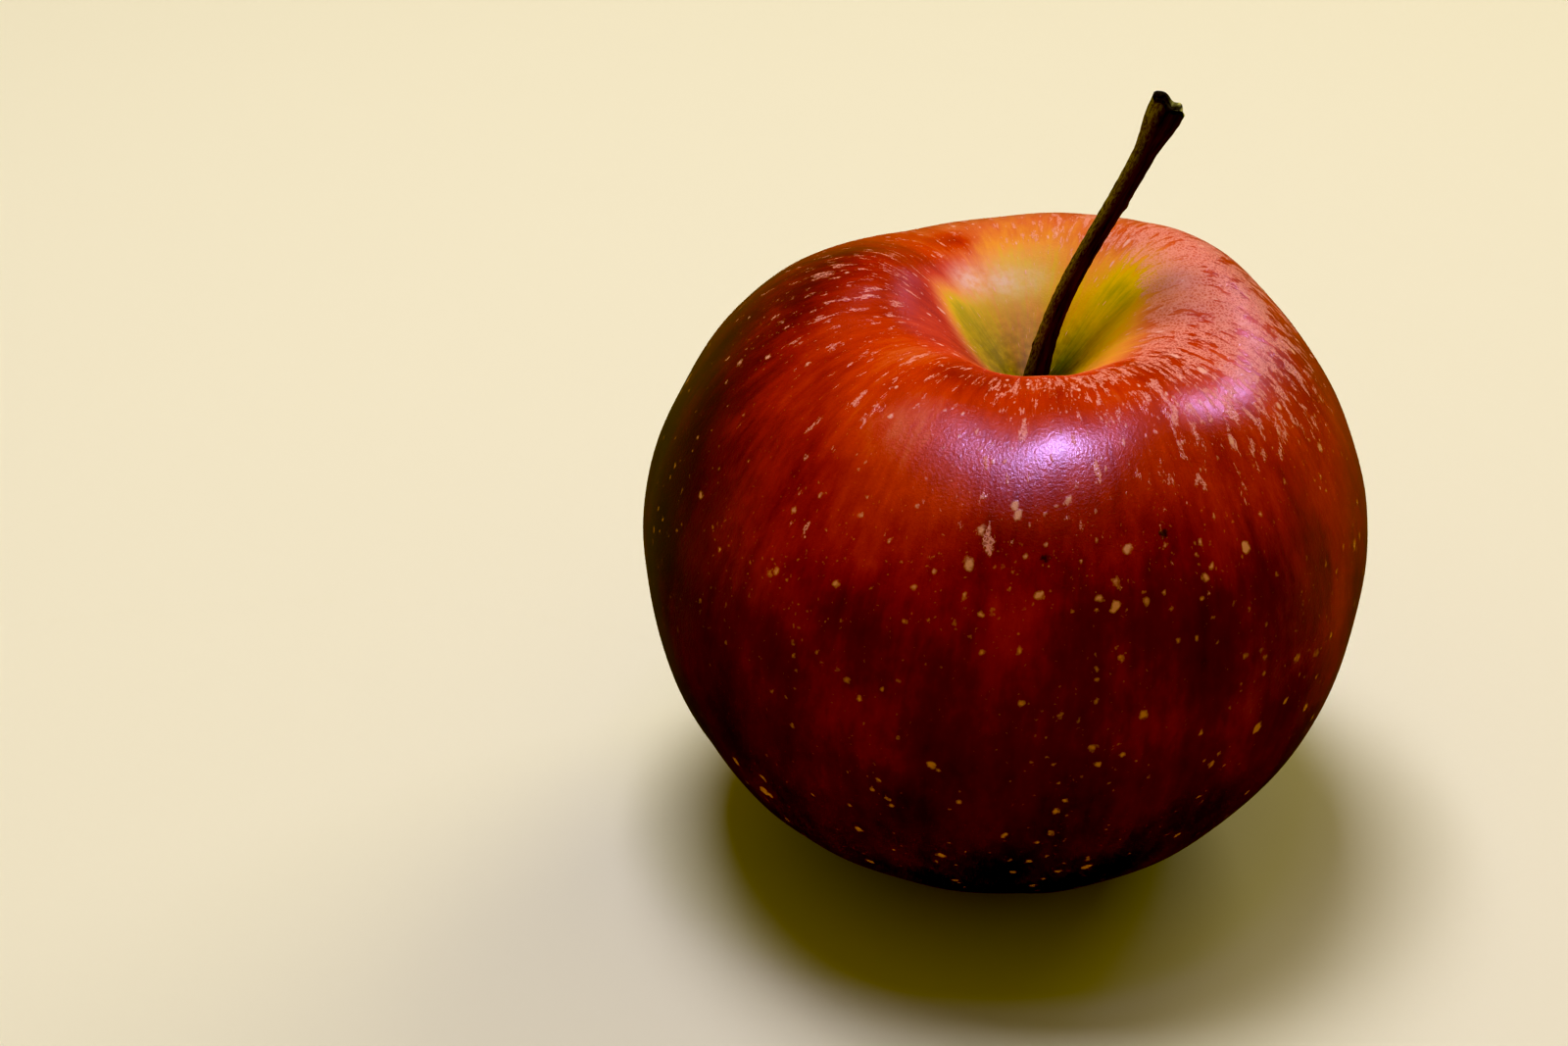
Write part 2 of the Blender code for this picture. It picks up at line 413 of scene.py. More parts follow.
def stalk_line(share):
    """The stalk's middle line: a straight run that sags, and curls up towards its tip."""
    bend = STALK_SAG * np.sin(np.pi * share) + STALK_CURL * np.sin(2 * np.pi * share)
    return share[:, None] * np.array(STALK_RUN) - bend[:, None] * np.array([1, 0, 0])


def stalk_radius(share, turn, bark):
    """Half thickness for each ring and side.

    An even shaft narrows to a waist, swells at its foot by exp(-share / 0.12) and flares at its
    tip by share ** 4 and a step. Knobs are soft bumps on one side, and ribs are drawn-out ripples.
    """
    radius = STALK_RADIUS + STALK_FOOT_SWELL * np.exp(-np.abs(share) / 0.12)
    radius += STALK_TIP_SWELL * (0.25 * share**4 + 0.85 * fade(share, 0.82, 0.97))
    radius -= STALK_WAIST * np.exp(-(((share - 0.5) / 0.3) ** 2))
    radius = radius[:, None] + 0 * turn
    for place, wide, angle, spread, height in STALK_KNOBS:
        along = np.exp(-(((share - place) / wide) ** 2))[:, None]
        radius += height * along * sector(turn, angle, spread)
    radius += 0.030 * MM * ripple(bark * np.array([1, 1, 0.06]), 0.9 * MM, 21)
    radius += 0.012 * MM * ripple(bark * np.array([1, 1, 0.4]), 0.45 * MM, 23)
    return radius


def stalk(finish, shift):
    """The woody stalk: ribbed rings carried along its line, with a slanted, torn and hollow end.

    The last rings of the tip are lifted by a slant and a ragged ripple. Inside them, five smaller
    rings sink by depth * (1 - inward ** 4) and close on the pit's middle.
    """
    turn = np.arange(STALK_COLUMNS) * (2 * np.pi / STALK_COLUMNS)
    share = np.linspace(1, STALK_FOOT_END, STALK_ROWS)
    foot = fruit_surface(np.array(math.asin(CAVITY_X / HALF_WIDTH)), np.array(0.0)) + shift
    foot = foot + np.array([0, 0, 2 * GAP])
    length = share * np.linalg.norm(STALK_RUN)
    even = np.zeros((STALK_ROWS, STALK_COLUMNS))
    bark = np.stack(
        [1.2 * MM * np.cos(turn) + even, 1.2 * MM * np.sin(turn) + even, length[:, None] + even],
        axis=-1,
    )
    rings = tube_rings(foot + stalk_line(share), stalk_radius(share, turn, bark), STALK_COLUMNS)

    tip = rings[0]
    middle = tip.mean(axis=0)
    ahead = (rings[0] - rings[1]).mean(axis=0)
    ahead /= np.linalg.norm(ahead)
    inward = np.array(END_RINGS)[:, None]
    torn = ripple(np.stack([np.cos(turn), np.sin(turn), 0 * turn], axis=-1), 0.9, 24)
    rough = ripple(tip[None] * inward[..., None] + 3 * MM, 0.8 * MM, 25)
    sunk = END_DEPTH * (1 + 0.2 * rough) * (1 - inward**4)
    lift = END_TEAR * torn - END_SLANT * np.cos(turn)
    near_tip = np.exp(-(((share - 1) / 0.03) ** 2))[:, None]
    rings = rings + (lift * near_tip)[..., None] * ahead
    face = middle + (tip - middle) * inward[..., None]
    face = face + (inward * lift - sunk)[..., None] * ahead
    rings = np.concatenate([face[::-1], rings])

    cut = np.concatenate([inward[::-1, 0], np.exp(-(((share - 1) / 0.008) ** 2))])
    cut = cut[:, None, None] + 0 * turn[:, None]
    bark = np.concatenate([np.repeat(bark[:1], len(face), axis=0), bark])
    return make_piece(
        "stalk", closed_rings(rings), ring_faces(len(rings), STALK_COLUMNS), finish,
        bark=closed_rings(bark), cut=closed_rings(cut)[:, 0],
    )


def calyx_leaf(number, finish, shift):
    """One dried sepal: flat lens-shaped rings along its curl, cupped across, with a wavy edge.

    From its root it leans in by 0.30 * share and curls out by 0.62 * share ** 2.4 of its length.
    Its width falls by share ** 1.6, times one plus two sine waves.
    """
    draw = np.random.default_rng(40 + number)
    turn = math.radians(SEPAL_ANGLE + number * 360 / SEPALS)
    outward_way = np.array([math.cos(turn), math.sin(turn), 0])
    across = np.array([-math.sin(turn), math.cos(turn), 0])
    share = np.linspace(0, 1, SEPAL_ROWS)[:, None]
    out = SEPAL_LENGTH * (0.62 * share**2.4 - 0.30 * share)
    down = SEPAL_LENGTH * 0.80 * np.sin(np.pi / 2 * np.minimum(1, share * 1.15))
    lens = np.arange(SEPAL_COLUMNS)[None, :] * (2 * np.pi / SEPAL_COLUMNS)
    phase = draw.uniform(0, 2 * np.pi, 3)
    edge = 1 + 0.10 * np.sin(11 * share + phase[0]) + 0.06 * np.sin(23 * share + phase[1])
    width = SEPAL_HALF_WIDTH * (1 - 0.93 * share**1.6) * edge
    sideways = width * np.cos(lens)
    cup = 0.16 * width * np.cos(lens) ** 2 + 0.10 * MM * np.sin(9 * share + 3 * np.cos(lens) + phase[2])
    thick = 0.5 * SEPAL_THICKNESS * (1 - 0.55 * share) * np.sin(lens)
    reach = SEPAL_ROOT + out - cup + thick
    eye = sepal_root(shift)
    rings = (
        eye
        + outward_way * reach[..., None]
        + across * sideways[..., None]
        - np.array([0, 0, 1]) * (down + 0 * lens)[..., None]
    )
    return make_piece(
        f"calyx_leaf_{number + 1}", closed_rings(rings[:, ::-1]),
        ring_faces(SEPAL_ROWS, SEPAL_COLUMNS), finish,
        along=closed_rings((share + 0 * lens)[..., None])[:, 0],
    )


def sepal_root(shift):
    """The middle of the eye, at the height where the sepals leave the fruit."""
    root = fruit_surface(np.array(math.pi - math.asin(SEPAL_ROOT / HALF_WIDTH)), np.array(0.0))
    return np.array([shift[0], shift[1], root[2] + shift[2] - GAP - SEPAL_THICKNESS])


def stamens(finish, shift):
    """Thin dried filaments that leave the tube of the eye in a loose brush.

    Their tops lie on a spiral of even spacing. Each is a thin tube along a leaning sine bend, and
    swells by exp(-((share - 0.93) / 0.06) ** 2) near its end.
    """
    draw = np.random.default_rng(71)
    top = fruit_surface(np.array(math.pi), np.array(0.0)) + shift
    share = np.linspace(0, 1, FILAMENT_ROWS)
    points, faces, along = [], [], []
    for number in range(FILAMENTS):
        turn = number * 2.4
        spread = TUFT_RADIUS * math.sqrt((number + 0.5) / FILAMENTS)
        length = TUFT_LENGTH * draw.uniform(0.72, 1.0)
        lean = draw.uniform(-0.25, 0.25, 2) * MM
        bend = draw.uniform(-0.22, 0.22) * MM
        out = spread * (0.75 + 0.4 * share)
        x = out * math.cos(turn) + lean[0] * share + bend * np.sin(np.pi * share)
        y = out * math.sin(turn) + lean[1] * share
        path = np.stack([x, y, 0.5 * MM - (length + 0.5 * MM) * share], axis=1)
        radius = (0.085 + 0.10 * np.exp(-(((share - 0.93) / 0.06) ** 2))) * MM
        points.append(closed_rings(tube_rings(top + path, radius, FILAMENT_COLUMNS)))
        step = number * len(points[0])
        one = ring_faces(FILAMENT_ROWS, FILAMENT_COLUMNS)
        faces += [[corner + step for corner in face] for face in one]
        level = share[:, None, None] + np.zeros((1, FILAMENT_COLUMNS, 1))
        along.append(closed_rings(level)[:, 0])
    return make_piece(
        "stamens", np.concatenate(points), faces, finish, along=np.concatenate(along)
    )


# ---------------------------------------------------------------- materials

def linear(hex_colour):
    """An sRGB hex colour as linear red, green, blue and alpha."""
    parts = [int(hex_colour[i : i + 2], 16) / 255 for i in (1, 3, 5)]
    return (*[p / 12.92 if p <= 0.04045 else ((p + 0.055) / 1.055) ** 2.4 for p in parts], 1)


def add(tree, kind, inputs=(), out=0, stops=(), **settings):
    """Adds a node and returns one of its outputs, by name or number.

    inputs gives, by name or number, a value, a hex colour or another node's output.
    """
    node = tree.nodes.new("ShaderNode" + kind)
    for name, value in settings.items():
        setattr(node, name, value)
    for key, value in dict(inputs).items():
        if isinstance(value, bpy.types.NodeSocket):
            tree.links.new(value, node.inputs[key])
        else:
            node.inputs[key].default_value = linear(value) if isinstance(value, str) else value
    for index, (place, colour) in enumerate(stops):
        ramp = node.color_ramp.elements
        stop = ramp[index] if index < 2 else ramp.new(place)
        stop.position = place
        stop.color = linear(colour)
    return node.outputs[out]


def new_finish(name, **uniform):
    """A material with one Principled shader. uniform gives its even values, with _ for a space."""
    finish = bpy.data.materials.new(name)
    finish.use_nodes = True
    tree = finish.node_tree
    shader = tree.nodes["Principled BSDF"]
    for key, value in uniform.items():
        shader.inputs[key.replace("_", " ")].default_value = value
    return finish, tree, shader


def ripe_colour(tree, around, place):
    """Skin colour from how ripe it is, with the painted light and shade of the cover layer: the layer,
    plus noise of three kinds, through a row of colours.

    Streaks of riper cells run from end to end, 2.6 mm wide and eleven times as long. Clouds are
    8 mm across, and mottles 1.3 mm.
    """
    drawn_out = add(tree, "VectorMath", {0: around, 1: (1, 1, 0.09)}, operation="MULTIPLY")
    short = add(tree, "VectorMath", {0: around, 1: (1, 1, 0.5)}, operation="MULTIPLY")
    ripe = add(tree, "Attribute", out="Fac", attribute_name="cover")
    for where, size, detail, roughness, share in (
        (drawn_out, 2.6, 4, 0.55, 0.13),
        (place, 8.0, 3, 0.55, 0.16),
        (short, 1.3, 3, 0.65, 0.14),
    ):
        look = {"Vector": where, "Scale": 1 / (size * MM), "Detail": detail, "Roughness": roughness}
        pattern = add(tree, "TexNoise", look, "Fac")
        part = add(tree, "Math", {0: pattern, 1: share, 2: -share / 2}, operation="MULTIPLY_ADD")
        ripe = add(tree, "Math", {0: ripe, 1: part}, operation="ADD")
    return add(
        tree, "ValToRGB", {"Fac": ripe}, "Color",
        stops=(
            (0.0, "#48700A"), (1.0, "#2A0302"), (0.10, "#AAA40C"), (0.22, "#E0C01C"), (0.34, "#ECA442"),
            (0.46, "#DE7A44"), (0.57, "#CA4414"), (0.68, "#A62408"), (0.79, "#700C04"), (0.90, "#460403"),
        ),
    )


def cavity_shade_and_sheen(tree, place, deep, colour):
    """Painted shade, olive brown in patches, that closes up towards the cavity's floor, and a pale,
    grainy painted reflection under its back lip.
    """
    # Painted shade: olive brown patches that close up towards the cavity's floor
    look = {"Vector": place, "Scale": 1 / (1.0 * MM), "Detail": 3, "Roughness": 0.55}
    patches = add(tree, "MapRange", {0: add(tree, "TexNoise", look, "Fac"), 1: 0.35, 2: 0.62, 3: 0.6})
    floor = add(tree, "MapRange", {0: deep, 1: 0.50, 2: 1.0, 4: 0.9})
    painted_floor_shade = add(tree, "Math", {0: floor, 1: patches}, operation="MULTIPLY")
    colour = add(tree, "Mix", {0: painted_floor_shade, 6: colour, 7: "#5A4806"}, 2, data_type="RGBA")

    # A pale painted reflection under the back lip, broken into grains
    look = {"Vector": place, "Scale": 1 / (0.9 * MM), "Detail": 3, "Roughness": 0.55}
    grains = add(
        tree, "MapRange", {0: add(tree, "TexNoise", look, "Fac"), 1: 0.34, 2: 0.60, 3: 0.35, 4: 0.72}
    )
    bloom = add(tree, "Attribute", out="Fac", attribute_name="bloom")
    dusty = add(tree, "Math", {0: bloom, 1: grains}, operation="MULTIPLY")
    return add(tree, "Mix", {0: dusty, 6: colour, 7: "#F2DAC8"}, 2, data_type="RGBA")


def scarf_skin(tree, around, place):
    """Where the cuticle has lifted: short radial flecks 1.6 mm wide that close up to a crust.

    A fine net with cells of 0.4 mm breaks it up: whole along the net's lines, thin inside its cells.
    """
    squeezed = add(tree, "VectorMath", {0: around, 1: (1, 1, 0.62)}, operation="MULTIPLY")
    look = {"Vector": squeezed, "Scale": 1 / (1.6 * MM), "Detail": 4, "Roughness": 0.66}
    flecks = add(tree, "TexNoise", look, "Fac")
    scarf = add(tree, "Attribute", out="Fac", attribute_name="scarf")
    limit = add(tree, "MapRange", {0: scarf, 3: 0.74, 4: 0.38})
    over = add(tree, "Math", {0: flecks, 1: limit}, operation="SUBTRACT")
    crust = add(tree, "MapRange", {0: over, 1: 0, 2: 0.05})

    curl = add(tree, "TexNoise", {"Vector": place, "Scale": 1 / (0.5 * MM), "Detail": 2}, "Color")
    bent = add(
        tree, "VectorMath", {0: curl, 1: (0.5 * MM,) * 3, 2: place}, operation="MULTIPLY_ADD"
    )
    edge = add(
        tree, "TexVoronoi", {"Vector": bent, "Scale": 1 / (0.40 * MM)}, "Distance",
        feature="DISTANCE_TO_EDGE",
    )
    net = add(tree, "MapRange", {0: edge, 1: 0.24, 2: 0.04, 3: 0.35})
    return add(tree, "Math", {0: crust, 1: net}, operation="MULTIPLY")


def lenticels(tree, around, place):
    """Corky breathing dots: cells in the skin, each with one spot of its own size.

    Each row gives the cells' spacing and the largest radius, in mm. Noise with features of 0.7 mm
    makes the outlines ragged, and clouds of 13 mm make the dots smaller in places.
    """
    worn = add(tree, "TexNoise", {"Vector": place, "Scale": 1 / (0.7 * MM), "Detail": 2}, "Color")
    shake = add(tree, "VectorMath", {0: worn, 1: (0.5, 0.5, 0.5)}, operation="SUBTRACT")
    shaken = add(
        tree, "VectorMath", {0: shake, 1: (0.85 * MM,) * 3, 2: around}, operation="MULTIPLY_ADD"
    )
    look = {"Vector": place, "Scale": 1 / (13 * MM), "Detail": 1, "Roughness": 0.55}
    cloud = add(tree, "TexNoise", look, "Fac")
    crowd = add(tree, "MapRange", {0: cloud, 1: 0.40, 2: 0.58, 3: 0.7, 4: 1.05})
    dots = 0.0
    for spacing, radius in ((3.5, 0.86), (1.95, 0.46), (1.05, 0.22), (0.72, 0.16)):
        largest = radius / spacing
        away = add(tree, "TexVoronoi", {"Vector": shaken, "Scale": 1 / (spacing * MM)}, "Distance")
        own = away.node.outputs["Color"]
        size = add(tree, "MapRange", {0: own, 1: 0.15, 2: 0.9, 3: 0.2 * largest, 4: largest})
        size = add(tree, "Math", {0: size, 1: crowd}, operation="MULTIPLY")
        inside = add(tree, "Math", {0: size, 1: away}, operation="SUBTRACT")
        dot = add(tree, "MapRange", {0: inside, 1: 0, 2: 0.30 / spacing})
        dots = add(tree, "Math", {0: dot, 1: dots}, operation="MAXIMUM")
    return dots


def scab_marks(tree, place, colour):
    """Healed pinpricks, dark, ragged and about 1 mm wide: a share that falls with the distance."""
    low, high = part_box("fruit")
    look = {"Vector": place, "Scale": 1 / (0.5 * MM), "Detail": 3, "Roughness": 0.55}
    torn = add(tree, "TexNoise", look, "Fac")
    for mark in SCABS:
        centre = (low + high) / 2 + Vector(mark) * MM
        away = add(tree, "VectorMath", {0: place, 1: centre}, "Value", operation="DISTANCE")
        ragged = add(tree, "Math", {0: torn, 1: 0.9 * MM, 2: away}, operation="MULTIPLY_ADD")
        share = add(tree, "MapRange", {0: ragged, 1: 1.05 * MM, 2: 0.75 * MM, 4: 0.85})
        colour = add(tree, "Mix", {0: share, 6: colour, 7: "#161A0C"}, 2, data_type="RGBA")
    return colour


def apple_skin():
    """Waxed apple skin: coloured cells under a thin cuticle that grew its own film of wax.

    The film gives a soft gloss, IOR 1.33 under a coat of 1.4. Cork, scarf skin and the stem
    cavity are dull.
    """
    finish, tree, shader = new_finish(
        "ripe apple skin", IOR=1.33, Coat_Roughness=0.17, Coat_IOR=1.4
    )
    around = add(tree, "Attribute", out="Vector", attribute_name="around")
    deep = add(tree, "Attribute", out="Fac", attribute_name="deep")
    place = add(tree, "TexCoord", out="Object")
    colour = cavity_shade_and_sheen(tree, place, deep, ripe_colour(tree, around, place))

    scarfed = scarf_skin(tree, around, place)
    pale = add(tree, "Math", {0: scarfed, 1: 0.80}, operation="MULTIPLY")
    colour = add(tree, "Mix", {0: pale, 6: colour, 7: "#EEA88C"}, 2, data_type="RGBA")

    # Dots are pinkish grey near the stem and tan lower down
    length = add(tree, "SeparateXYZ", {0: around}, "Z")
    low_down = add(tree, "MapRange", {0: length, 1: 22 * MM, 2: 52 * MM})
    cork = add(tree, "Mix", {0: low_down, 6: "#F0BAA0", 7: "#DC9A4C"}, 2, data_type="RGBA")
    dots = add(tree, "Math", {0: lenticels(tree, around, place), 1: 0.85}, operation="MULTIPLY")
    colour = add(tree, "Mix", {0: dots, 6: colour, 7: cork}, 2, data_type="RGBA")
    tree.links.new(scab_marks(tree, place, colour), shader.inputs["Base Color"])

    # Wax is smoothest on the bare red, and dull on scarf skin, on cork and in the stem cavity
    hollow = add(tree, "MapRange", {0: deep, 1: 0.05, 2: 0.36})
    dull = add(tree, "Math", {0: scarfed, 1: dots}, operation="MAXIMUM")
    outside = add(tree, "MapRange", {0: dull, 3: 0.33, 4: 0.60})
    inside = add(tree, "Math", {0: hollow, 1: 0.64}, operation="MULTIPLY")
    rough = add(tree, "Math", {0: outside, 1: inside}, operation="MAXIMUM")
    tree.links.new(rough, shader.inputs["Roughness"])
    film = add(tree, "MapRange", {0: hollow, 1: 0, 2: 0.8, 3: 0.32, 4: 0.0})
    tree.links.new(film, shader.inputs["Coat Weight"])

    # The cuticle is finely grained, 0.34 mm from grain to grain, and scarf skin stands proud
    look = {"Vector": place, "Scale": 1 / (0.34 * MM), "Detail": 3, "Roughness": 0.65}
    fine = add(tree, "Math", {0: add(tree, "TexNoise", look, "Fac"), 1: 1.4}, operation="MULTIPLY")
    proud = add(tree, "Math", {0: dull, 1: 0.8, 2: fine}, operation="MULTIPLY_ADD")
    bump = add(tree, "Bump", {"Height": proud, "Strength": 1.0, "Distance": 0.03 * MM}, "Normal")
    tree.links.new(bump, shader.inputs["Normal"])
    tree.links.new(bump, shader.inputs["Coat Normal"])
    return finish


def stalk_bark():
    """Dried apple stalk: thin bark over woody fibres, shrunk into fine ribs as it dried.

    It is dull all over. Its old outer skin stays on one side in olive specks, and its end is torn.
    """
    finish, tree, shader = new_finish("dried stalk bark", IOR=1.25)
    bark = add(tree, "Attribute", out="Vector", attribute_name="bark")
    cut = add(tree, "Attribute", out="Fac", attribute_name="cut")
    place = add(tree, "TexCoord", out="Object")
    side = add(tree, "SeparateXYZ", {0: bark}, "X")
    height = side.node.outputs["Z"]

    # Fibres 0.3 mm wide, patches 1.2 mm wide
    drawn_out = add(tree, "VectorMath", {0: bark, 1: (1, 1, 0.07)}, operation="MULTIPLY")
    look = {"Vector": drawn_out, "Scale": 1 / (0.32 * MM), "Detail": 4, "Roughness": 0.65}
    fibres = add(tree, "Math", {0: add(tree, "TexNoise", look, "Fac"), 1: 0.65}, operation="MULTIPLY")
    longer = add(tree, "VectorMath", {0: bark, 1: (1, 1, 0.3)}, operation="MULTIPLY")
    look = {"Vector": longer, "Scale": 1 / (1.2 * MM), "Detail": 3, "Roughness": 0.55}
    patches = add(tree, "TexNoise", look, "Fac")
    tone = add(tree, "Math", {0: patches, 1: 0.35, 2: fibres}, operation="MULTIPLY_ADD")
    colour = add(
        tree, "ValToRGB", {"Fac": add(tree, "MapRange", {0: tone, 1: 0.36, 2: 0.64})}, "Color",
        stops=((0.0, "#1E0E04"), (1.0, "#5E3A14"), (0.45, "#3A1E08"), (0.78, "#4A2A0C")),
    )

    # Thin old skin, olive and speckled, stays on one side, and the foot is dark olive
    flattened = add(tree, "VectorMath", {0: bark, 1: (1, 1, 0.45)}, operation="MULTIPLY")
    look = {"Vector": flattened, "Scale": 1 / (0.22 * MM), "Detail": 3, "Roughness": 0.7}
    specks = add(tree, "MapRange", {0: add(tree, "TexNoise", look, "Fac"), 1: 0.42, 2: 0.58, 3: 0.1})
    left = add(tree, "MapRange", {0: side, 1: -0.35 * MM, 2: -1.15 * MM})
    skin_left = add(tree, "Math", {0: left, 1: specks}, operation="MULTIPLY")
    colour = add(tree, "Mix", {0: skin_left, 6: colour, 7: "#857828"}, 2, data_type="RGBA")
    low_down = add(tree, "MapRange", {0: height, 1: 7 * MM, 2: 1 * MM, 4: 0.7})
    colour = add(tree, "Mix", {0: low_down, 6: colour, 7: "#2E2C0C"}, 2, data_type="RGBA")

    # The end: a dark pit, and pale torn fibres on its rim that are painted on the lit side only,
    # as a painted highlight
    look = {"Vector": place, "Scale": 1 / (0.5 * MM), "Detail": 3, "Roughness": 0.55}
    decay = add(tree, "MapRange", {0: add(tree, "TexNoise", look, "Fac"), 1: 0.4, 2: 0.6})
    pit = add(tree, "Mix", {0: decay, 6: "#080503", 7: "#2C2410"}, 2, data_type="RGBA")
    rim = add(tree, "MapRange", {0: cut, 1: 0.86, 2: 0.97})
    right = add(tree, "MapRange", {0: side, 1: 0.0, 2: 0.8 * MM})
    lit = add(tree, "Math", {0: rim, 1: right}, operation="MULTIPLY")
    lit = add(tree, "Math", {0: lit, 1: specks}, operation="MULTIPLY")
    pit = add(tree, "Mix", {0: lit, 6: pit, 7: "#C8C464"}, 2, data_type="RGBA")
    end = add(tree, "MapRange", {0: cut, 1: 0.02, 2: 0.12})
    colour = add(tree, "Mix", {0: end, 6: colour, 7: pit}, 2, data_type="RGBA")
    tree.links.new(colour, shader.inputs["Base Color"])

    rough = add(tree, "MapRange", {0: tone, 1: 0.35, 2: 0.65, 3: 0.85, 4: 0.70})
    tree.links.new(rough, shader.inputs["Roughness"])
    bump = add(tree, "Bump", {"Height": tone, "Strength": 1.0, "Distance": 0.10 * MM}, "Normal")
    tree.links.new(bump, shader.inputs["Normal"])
    return finish


def dried_leaf():
    """Withered sepal: a brittle grey-brown leaf that dried in place, under grey down.

    The down gives a faint sheen at grazing angles. The curled tip is darker.
    """
    finish, tree, shader = new_finish(
        "withered sepal", Sheen_Weight=0.35, Sheen_Roughness=0.5, Roughness=0.85
    )
    place = add(tree, "TexCoord", out="Object")
    along = add(tree, "Attribute", out="Fac", attribute_name="along")
    look = {"Vector": place, "Scale": 1 / (0.25 * MM), "Detail": 4, "Roughness": 0.7}
    down = add(tree, "TexNoise", look, "Fac")
    grey = add(tree, "MapRange", {0: down, 1: 0.38, 2: 0.62})
    colour = add(tree, "Mix", {0: grey, 6: "#3A2A18", 7: "#8C7A58"}, 2, data_type="RGBA")
    tip = add(tree, "MapRange", {0: along, 1: 0.45, 2: 1.0, 4: 0.75})
    colour = add(tree, "Mix", {0: tip, 6: colour, 7: "#24180E"}, 2, data_type="RGBA")
    tree.links.new(colour, shader.inputs["Base Color"])
    bump = add(tree, "Bump", {"Height": down, "Strength": 1.0, "Distance": 0.12 * MM}, "Normal")
    tree.links.new(bump, shader.inputs["Normal"])
    return finish


def dried_filament():
    """Dried stamen: a dark brown thread, shrivelled and dull, with a dusty, paler swollen end."""
    finish, tree, shader = new_finish("dried stamen", Roughness=0.8)
    place = add(tree, "TexCoord", out="Object")
    along = add(tree, "Attribute", out="Fac", attribute_name="along")
    look = {"Vector": place, "Scale": 1 / (0.15 * MM), "Detail": 3, "Roughness": 0.55}
    dust = add(tree, "TexNoise", look, "Fac")
    dusty = add(tree, "MapRange", {0: dust, 1: 0.38, 2: 0.62})
    colour = add(tree, "Mix", {0: dusty, 6: "#1E120A", 7: "#4E3820"}, 2, data_type="RGBA")
    end = add(tree, "MapRange", {0: along, 1: 0.80, 2: 0.92, 4: 0.6})
    colour = add(tree, "Mix", {0: end, 6: colour, 7: "#7A6238"}, 2, data_type="RGBA")
    tree.links.new(colour, shader.inputs["Base Color"])
    bump = add(tree, "Bump", {"Height": dust, "Strength": 1.0, "Distance": 0.05 * MM}, "Normal")
    tree.links.new(bump, shader.inputs["Normal"])
    return finish


# ---------------------------------------------------------------- studio

def table_top(floor):
    """A wide, level, pale surface under the fruit: laminate with a dull, even finish."""
    finish, _, _ = new_finish("pale table top", Base_Color=linear("#E9E7C2"), Roughness=0.75)
    half = TABLE_WIDTH / 2
    corners = [(-half, -half, floor), (half, -half, floor), (half, half, floor), (-half, half, floor)]
    table = make_piece("table_top", np.array(corners), [[0, 1, 2, 3]], finish)
    table.visible_glossy = False


def back_wall(floor):
    """A pale round wall, even in brightness. Only the camera sees it, so that it lights nothing.

    Its points are two circles of the same radius, one just under the table and one high above.
    """
    finish, _, _ = new_finish(
        "pale wall",
        Base_Color=(0, 0, 0, 1), Roughness=1.0,
        Emission_Color=linear("#EDE4C8"), Emission_Strength=1.0,
    )
    finish.cycles.emission_sampling = "NONE"
    turn = np.arange(WALL_COLUMNS) * (2 * np.pi / WALL_COLUMNS)
    height = np.array([WALL_HEIGHT, floor - 10 * MM])[:, None] + 0 * turn
    x = WALL_RADIUS * np.cos(turn) + 0 * height
    y = WALL_RADIUS * np.sin(turn) + 0 * height
    here = np.arange(WALL_COLUMNS)
    after = (here + 1) % WALL_COLUMNS
    faces = np.stack([here, after, after + WALL_COLUMNS, here + WALL_COLUMNS], axis=-1).tolist()
    points = np.stack([x, y, height], axis=-1).reshape(-1, 3)
    wall = make_piece("back_wall", points, faces, finish)
    wall.visible_diffuse = False
    wall.visible_glossy = False
    wall.visible_shadow = False


def room():
    """The light from all round: dull yellow above the table's level, and dark well below it."""
    world = bpy.data.worlds.new("room")
    bpy.context.scene.world = world
    world.use_nodes = True
    tree = world.node_tree
    heading = add(tree, "TexCoord", out="Generated")
    height = add(tree, "SeparateXYZ", {0: heading}, "Z")
    lit = add(tree, "MapRange", {0: height, 1: -0.80, 2: -0.15})
    colour = add(tree, "Mix", {0: lit, 6: "#0A0803", 7: "#C8B45C"}, 2, data_type="RGBA")
    background = tree.nodes["Background"]
    tree.links.new(colour, background.inputs["Color"])
    background.inputs["Strength"].default_value = 0.45


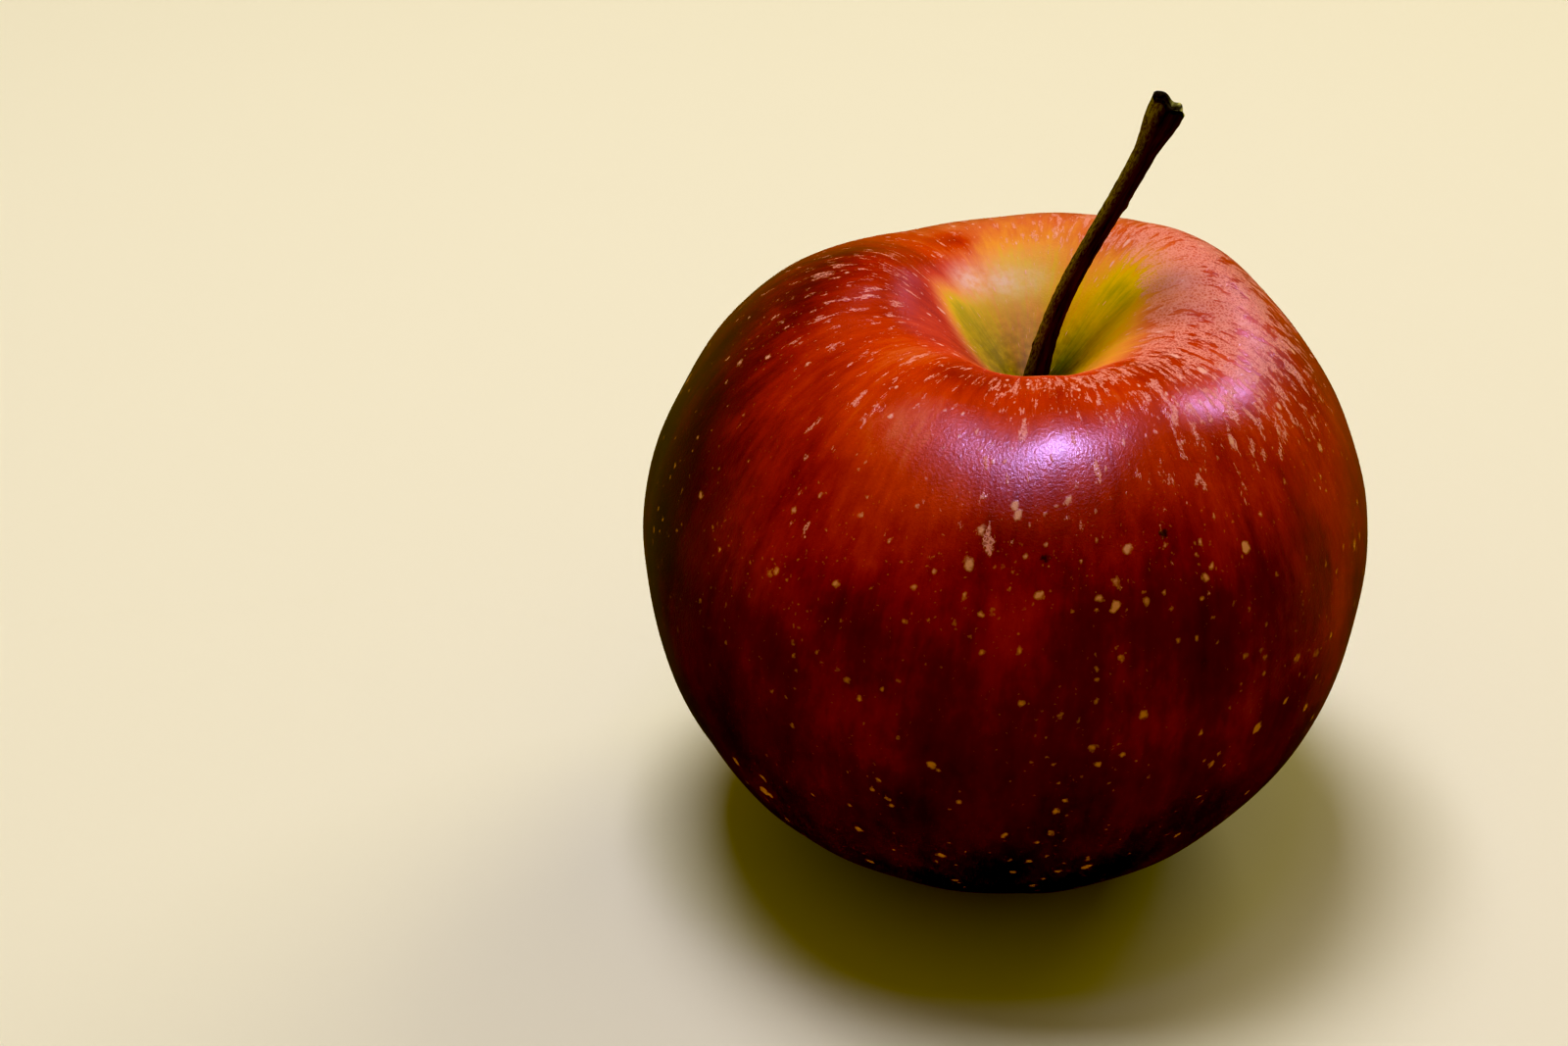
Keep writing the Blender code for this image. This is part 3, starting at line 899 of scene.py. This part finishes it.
def lamp(name, target, heading, distance, size, power, colour, only_gloss):
    """A rectangular lamp that stands off the target in the given direction, level and facing it.

    It is seen in gloss only, or it lights the surface and is left out of gloss.
    """
    data = bpy.data.lights.new(name, "AREA")
    data.shape = "RECTANGLE"
    data.size, data.size_y = size
    data.energy = power
    data.color = linear(colour)[:3]
    made = bpy.data.objects.new(name, data)
    bpy.context.scene.collection.objects.link(made)
    away = Vector(heading).normalized()
    level = Vector((0, 1, 0)).cross(away).normalized()
    turned = Matrix((level, away.cross(level), away)).transposed()
    made.location = target + away * distance
    made.rotation_euler = turned.to_euler()
    made.visible_diffuse = not only_gloss
    made.visible_glossy = only_gloss


def studio():
    """A pale table top and wall, a dim room, soft lamps above and behind, and two small gleams."""
    low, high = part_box("fruit")
    table_top(low.z)
    back_wall(low.z)
    room()
    middle = (low + high) / 2
    for name, *settings in LAMPS:
        lamp(name, middle, *settings)


def camera():
    """A camera in front that looks down on the shoulder, with the fruit right of the middle."""
    low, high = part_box("fruit")
    width = high.x - low.x
    middle = (low + high) / 2
    middle.z = low.z + AIM_HEIGHT * (high.z - low.z)
    pitch = math.radians(CAMERA_PITCH)
    data = bpy.data.cameras.new("camera")
    data.lens = 70
    data.sensor_width = 36
    data.clip_start = 10 * MM
    made = bpy.data.objects.new("camera", data)
    bpy.context.scene.collection.objects.link(made)
    back = Vector((0, -math.cos(pitch), math.sin(pitch)))
    up = Vector((0, math.sin(pitch), math.cos(pitch)))
    made.location = middle + width * (CAMERA_BACK * back + CAMERA_UP * up - Vector((CAMERA_LEFT, 0, 0)))
    made.rotation_euler = (math.pi / 2 - pitch, 0, 0)
    bpy.context.scene.camera = made


def view_settings():
    """A plain view with more contrast than usual, and shadows that close up to black."""
    view = bpy.context.scene.view_settings
    view.view_transform = "Standard"
    view.gamma = 0.8
    view.use_curve_mapping = True
    view.curve_mapping.black_level = (0.012, 0.013, 0.028)
    view.curve_mapping.update()


whole, shift = skin(apple_skin())
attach(whole, "root")
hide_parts("fruit")

handle = stalk(stalk_bark(), shift)
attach(handle, "root")
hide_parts("stem")

leaf_finish = dried_leaf()
for number in range(SEPALS):
    leaf = calyx_leaf(number, leaf_finish, shift)
    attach(leaf, "root")
    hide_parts(f"sepal_{number + 1}")

brush = stamens(dried_filament(), shift)
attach(brush, "root")
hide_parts("stamen_tuft")

studio()
camera()
view_settings()
